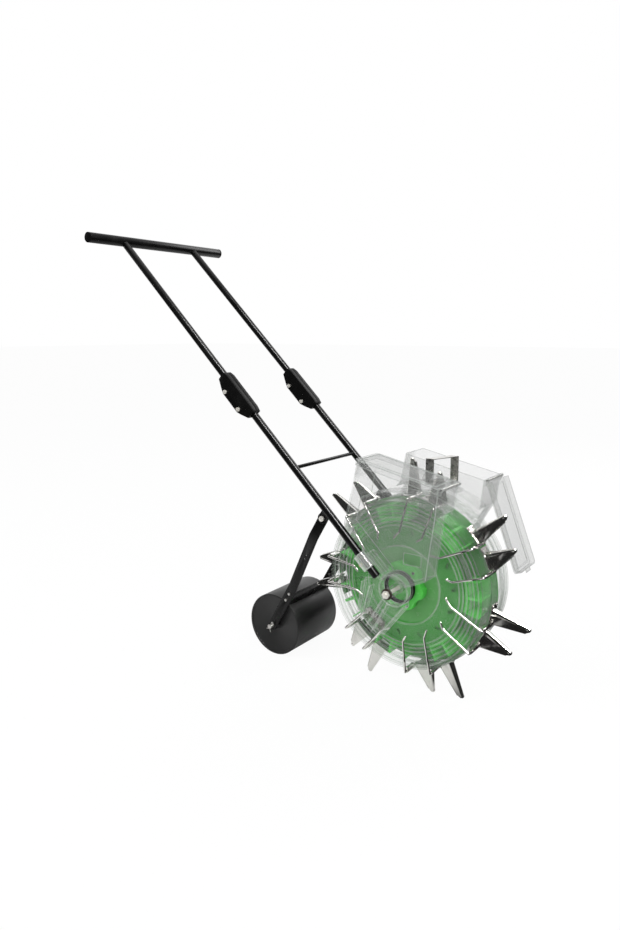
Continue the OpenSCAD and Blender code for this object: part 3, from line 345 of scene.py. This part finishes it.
materials = {
    "blackPaint": paintMaterial("blackPaint",
        {"Colour": (0.003, 0.003, 0.003, 1), "Dust Colour": (0.09, 0.09, 0.085, 1), "Dust": 0.04,
         "Roughness": 0.27, "Spread": 0.04, "Grain Scale": 700.0},
        {"Specular IOR Level": 0.17}, 0.003),
    "rollerPaint": paintMaterial("rollerPaint",
        {"Colour": (0.004, 0.004, 0.004, 1), "Dust Colour": (0.08, 0.075, 0.07, 1), "Dust": 0.05,
         "Roughness": 0.38, "Spread": 0.08, "Grain Scale": 900.0},
        {"Specular IOR Level": 0.35}, 0.1),
    "blackPlastic": paintMaterial("blackPlastic",
        {"Colour": (0.004, 0.004, 0.004, 1), "Dust Colour": (0.08, 0.08, 0.08, 1), "Dust": 0.04,
         "Roughness": 0.36, "Spread": 0.06, "Grain Scale": 1400.0},
        {"Specular IOR Level": 0.05}, 0.05),
    "rubber": paintMaterial("rubber",
        {"Colour": (0.02, 0.01, 0.006, 1), "Dust Colour": (0.1, 0.07, 0.05, 1), "Dust": 0.15,
         "Roughness": 0.6, "Spread": 0.08, "Grain Scale": 1100.0},
        {"Specular IOR Level": 0.35}, 0.3),
    "brightSteel": metalMaterial("brightSteel",
        {"Colour": (0.74, 0.73, 0.7, 1), "Stain Colour": (0.42, 0.4, 0.37, 1), "Stain": 0.3,
         "Roughness": 0.1, "Spread": 0.04}, {}, 0.25),
    "plainSteel": metalMaterial("plainSteel",
        {"Colour": (0.52, 0.51, 0.49, 1), "Stain Colour": (0.22, 0.2, 0.17, 1), "Stain": 0.5,
         "Roughness": 0.28, "Spread": 0.08}, {}, 0.3),
    "paleSteel": metalMaterial("paleSteel",
        {"Colour": (0.8, 0.78, 0.72, 1), "Stain Colour": (0.45, 0.4, 0.32, 1), "Stain": 0.35,
         "Roughness": 0.35, "Spread": 0.08}, {"Metallic": 0.5}, 0.25),
    "goldSteel": metalMaterial("goldSteel",
        {"Colour": (0.66, 0.5, 0.22, 1), "Stain Colour": (0.25, 0.17, 0.07, 1), "Stain": 0.5,
         "Roughness": 0.28, "Spread": 0.08}, {}, 0.3),
    "clearPlastic": clearMaterial("clearPlastic",
        {"veil": 0.085, "edge": 0.65, "line": 0.85, "lineWidth": 0.0024, "veilColour": (0.36, 0.37, 0.36, 1),
         "grazingShadeColour": (0.14, 0.15, 0.14, 1), "paintedLineColour": (0.4, 0.43, 0.41, 1)},
        clearMarks, clearShader),
    "clearBracket": clearMaterial("clearBracket",
        {"veil": 0.06, "edge": 0.6, "line": 0.7, "lineWidth": 0.0022, "veilColour": (0.6, 0.63, 0.6, 1),
         "grazingShadeColour": (0.3, 0.32, 0.3, 1), "paintedLineColour": (0.62, 0.66, 0.62, 1), "frostAndSheen": 0.08,
         "frostAndSheenFrom": 0.068},
        clearMarks, clearShader),
    "clearLid": clearMaterial("clearLid",
        {"veil": 0.2, "edge": 0.7, "line": 0.7, "lineWidth": 0.0021, "veilColour": (0.4, 0.41, 0.4, 1),
         "grazingShadeColour": (0.14, 0.15, 0.14, 1), "paintedLineColour": (0.3, 0.32, 0.3, 1)},
        {**clearMarks, "Haze": 0.01}, clearShader),
    "clearDrum": clearMaterial("clearDrum",
        {"veil": 0.06, "edge": 0.8, "line": 0.65, "lineWidth": 0.0022, "veilColour": (0.4, 0.44, 0.4, 1),
         "grazingShadeColour": (0.12, 0.14, 0.12, 1), "paintedLineColour": (0.42, 0.5, 0.42, 1),
         "outerLineShadeColour": (0.13, 0.15, 0.13, 1), "rimFrom": 0.194},
        clearMarks, clearShader),
    "greenPlastic": greenMaterial("greenPlastic",
        {"colour": (0.04, 0.3, 0.036, 1), "frostColour": (0.11, 0.34, 0.1, 1), "frostTo": 0.094, "dust": 0.15,
         "alpha": 0.86},
        greenMarks, greenShader),
    "brightGreen": greenMaterial("brightGreen",
        {"colour": (0.08, 0.54, 0.07, 1), "frostColour": (0.15, 0.58, 0.13, 1), "frostTo": 0.02, "dust": 0.2,
         "alpha": 0.86},
        greenMarks, greenShader),
}
print("materials made:", len(materials))

nodeFinish = {
    "blackPaint": ["handle_bar", "near_upper_tube", "far_upper_tube", "near_lower_tube", "far_lower_tube",
                   "cross_bar", "near_roller_arm", "far_roller_arm", "scraper_blade"],
    "rollerPaint": ["roller_drum"],
    "blackPlastic": ["bar_end_caps", "joiner_outer_halves", "joiner_inner_halves", "hub_rings"],
    "rubber": ["rubber_washers"],
    "brightSteel": ["seed_beaks", "fertiliser_beaks", "lever_sleeves", "jaw_springs"]
                   + [kind + "_jaw_%d" % i for kind in ("seed", "fertiliser") for i in range(1, 8)],
    "plainSteel": ["hopper_screws", "lid_pins", "flange_screws", "beak_screws", "scraper_screws",
                   "roller_axle", "split_pins", "hopper_strap", "trip_cams"],
    "paleSteel": ["wheel_axle", "axle_nuts", "joiner_screws", "arm_pivot_bolts"],
    "goldSteel": ["socket_screws"],
    "clearPlastic": ["near_hopper", "far_hopper", "near_lid"],
    "clearLid": ["far_lid"],
    "clearBracket": ["near_bracket", "far_bracket"],
    "clearDrum": ["near_drum_shell", "far_drum_shell"],
    "greenPlastic": ["partition_disc", "metering_discs", "hub_sleeve"],
    "brightGreen": ["pickup_blocks", "hub_flanges"],
}


finishSettings = {"weld": 0.000002, "bevel": 0.0003, "sharpAngle": math.radians(35)}


def finishNode(node, mat, rounded, s):  # clear walls keep their sharp edges, which carry the painted edge lines
    node.data.materials.clear()
    node.data.materials.append(mat)
    for polygon in node.data.polygons:
        polygon.material_index = 0
        polygon.use_smooth = True
    weld = node.modifiers.new("weld", "WELD")
    weld.merge_threshold = s["weld"]
    if rounded:
        bevel = node.modifiers.new("round", "BEVEL")
        bevel.width = s["bevel"]
        bevel.segments = 2
        bevel.limit_method = "ANGLE"
        bevel.angle_limit = s["sharpAngle"]
        bevel.use_clamp_overlap = True
    split = node.modifiers.new("split", "EDGE_SPLIT")
    split.split_angle = s["sharpAngle"]


for finish, names in nodeFinish.items():
    for name in names:
        finishNode(cad[name], materials[finish], not finish.startswith("clear"), finishSettings)
print("nodes finished")


# white sweep near the planter in a darker studio, which the polished steel and the paint mirror
stageSettings = {
    "floorSize": 80,
    "whiteTo": axle[0] + 0.02,
    "darkFrom": axle[0] + 0.13,
    "whiteFront": -0.5,
    "darkFront": -0.8,
    "mirroredFloor": 0.02,
    "shadowShare": 0.05,
    "skyLevel": 0.62,
    "skyToward": (-0.45, 0.55, 0.7),
    "skyDots": (0.2, 0.85),
    "mirroredLow": 0.03,
    "mirroredHigh": 1.3,
}


def makeStage(s):
    bpy.ops.mesh.primitive_plane_add(size=s["floorSize"], location=(0, 0, 0))
    floor = bpy.context.object
    floor.name = "floor"
    mat, tree, shader = newMaterial("floorWhite")
    setSockets(shader, {"Base Color": (0.86, 0.86, 0.86, 1), "Roughness": 0.6, "Specular IOR Level": 0.2})
    coords = tree.nodes.new("ShaderNodeTexCoord")
    split = tree.nodes.new("ShaderNodeSeparateXYZ")
    tree.links.new(coords.outputs["Object"], split.inputs["Vector"])
    right = mapRange(tree, split.outputs["X"], s["whiteTo"], s["darkFrom"])
    front = mapRange(tree, split.outputs["Y"], s["whiteFront"], s["darkFront"])
    away = mathNode(tree, "MAXIMUM", right, front)
    path = tree.nodes.new("ShaderNodeLightPath")
    mirrored = mathNode(tree, "MULTIPLY", path.outputs["Is Glossy Ray"], away)
    glow = tree.nodes.new("ShaderNodeEmission")
    tree.links.new(mixColour(tree, mirrored, (1, 1, 1, 1), (s["mirroredFloor"],) * 3 + (1,)),
                   glow.inputs["Color"])
    add = tree.nodes.new("ShaderNodeMixShader")
    seen = mathNode(tree, "MULTIPLY", path.outputs["Is Camera Ray"], 1 - s["shadowShare"])
    tree.links.new(mathNode(tree, "MAXIMUM", seen, mirrored), add.inputs["Fac"])
    tree.links.new(shader.outputs["BSDF"], add.inputs[1])
    tree.links.new(glow.outputs["Emission"], add.inputs[2])
    tree.links.new(add.outputs["Shader"], tree.nodes["Material Output"].inputs["Surface"])
    floor.data.materials.append(mat)

    world = bpy.data.worlds.new("studio")
    bpy.context.scene.world = world
    world.use_nodes = True
    tree = world.node_tree
    plain = tree.nodes["Background"]
    plain.inputs["Color"].default_value = (1, 1, 1, 1)
    coords = tree.nodes.new("ShaderNodeTexCoord")
    toward = vectorMath(tree, "DOT_PRODUCT", "Value", coords.outputs["Generated"], s["skyToward"])
    mirrored = mapRange(tree, toward, *s["skyDots"], s["mirroredLow"], s["mirroredHigh"])
    path = tree.nodes.new("ShaderNodeLightPath")
    other = mapRange(tree, path.outputs["Is Glossy Ray"], 0.0, 1.0, s["skyLevel"], mirrored)
    level = mapRange(tree, path.outputs["Is Camera Ray"], 0.0, 1.0, other, 1.0)
    tree.links.new(level, plain.inputs["Strength"])


lampSettings = {
    "keyLamp": {"at": (-1.2, -2.6, 3.0), "aim": (0.1, 0, 0.4), "size": 2.0, "power": 70, "mirrored": False},
    "fillLamp": {"at": (2.8, -1.4, 2.0), "aim": (0.2, 0, 0.3), "size": 1.6, "power": 35, "mirrored": True},
    "backLamp": {"at": (0.6, 2.8, 2.6), "aim": (0.1, 0, 0.3), "size": 1.8, "power": 45, "mirrored": True},
}


def makeLamps():
    for name, s in lampSettings.items():
        bpy.ops.object.light_add(type="AREA", location=s["at"])
        lamp = bpy.context.object
        lamp.name = name
        lamp.data.size = s["size"]
        lamp.data.energy = s["power"]
        lamp.visible_glossy = s["mirrored"]
        toward = Vector(s["aim"]) - Vector(s["at"])
        lamp.rotation_euler = toward.to_track_quat("-Z", "Y").to_euler()


# long lamp beside the handle, which gives no plain light: tubes, steel and clear parts mirror it
stripSettings = {
    "name": "stripLamp",
    "along": (-0.62, 0, 0.78),
    "toward": (0.74, -0.316, 0.588),
    "shift": 1.3,
    "distance": 2.0,
    "length": 2.8,
    "width": 0.3,
    "power": 260,
}


def makeStrip(s):
    along = Vector(s["along"]).normalized()
    toward = (Vector(s["toward"]) - along * along.dot(Vector(s["toward"]))).normalized()
    place = Vector(axle) + along * s["shift"] + toward * s["distance"]
    bpy.ops.object.light_add(type="AREA", location=place)
    lamp = bpy.context.object
    lamp.name = s["name"]
    lamp.data.shape = "RECTANGLE"
    lamp.data.size = s["length"]
    lamp.data.size_y = s["width"]
    lamp.data.energy = s["power"]
    lamp.visible_camera = False
    lamp.visible_diffuse = False
    lamp.rotation_euler = Matrix((along, toward.cross(along), toward)).transposed().to_euler()


makeStage(stageSettings)
makeLamps()
makeStrip(stripSettings)
bpy.context.scene.view_settings.view_transform = "Standard"
bpy.context.scene.cycles.transparent_max_bounces = 48  # many clear walls lie behind one another
print("stage and lamps placed")
